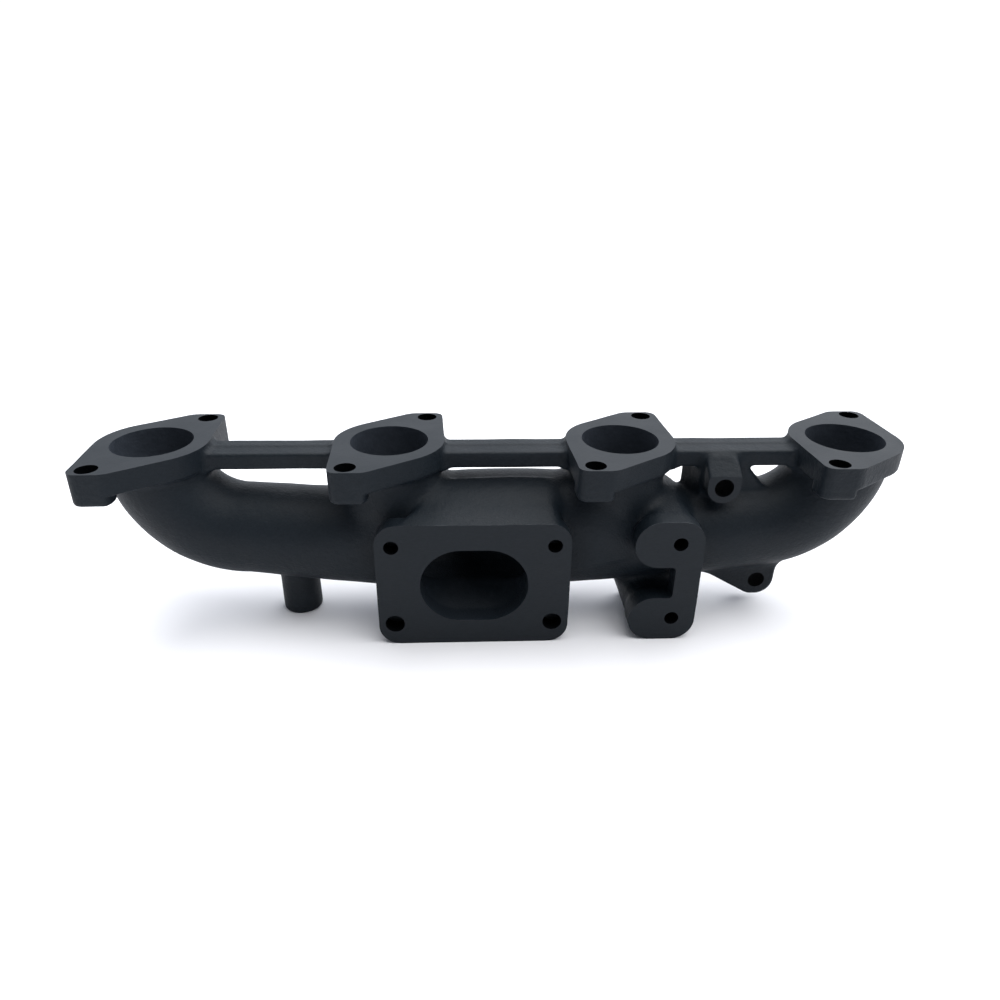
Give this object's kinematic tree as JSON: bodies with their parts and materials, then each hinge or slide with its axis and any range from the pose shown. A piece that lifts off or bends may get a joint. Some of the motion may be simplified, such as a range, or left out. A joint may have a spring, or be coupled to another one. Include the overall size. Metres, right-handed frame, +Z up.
{
  "type": "exhaust manifold",
  "caption": "Cast-iron exhaust manifold: tied port flanges in a row, curved runners into one log, and a flat outlet flange with an oval port.",
  "frame": {"origin": "on the ground plane, under the middle of the row of ports", "axes": "+X along the manifold, +Y to its back, away from the outlet, +Z up out of the ports"},
  "size_m": [0.417, 0.0806, 0.1],
  "materials": {
    "raw_casting": "sand-cast iron under thin matt charcoal paint",
    "machined_face": "machined iron under thin matt charcoal paint"
  },
  "bodies": {
    "root": {"port_flange_1": "machined_face", "port_flange_2": "machined_face", "port_flange_3": "machined_face", "port_flange_4": "machined_face", "outlet_flange": "machined_face", "bracket_plate": "machined_face", "tie_bar_1_2": "raw_casting", "tie_bar_2_3": "raw_casting", "tie_bar_3_4": "raw_casting", "runner_1": "raw_casting", "runner_2": "raw_casting", "runner_3": "raw_casting", "runner_4": "raw_casting", "collector_left": "raw_casting", "collector_centre": "raw_casting", "collector_right": "raw_casting", "outlet_neck": "raw_casting", "bracket_upper_arm": "raw_casting", "bracket_lower_arm": "raw_casting", "pipe_boss": "raw_casting", "boss_web": "raw_casting", "lower_lug": "raw_casting", "support_peg": "raw_casting"}
  },
  "joints": []
}
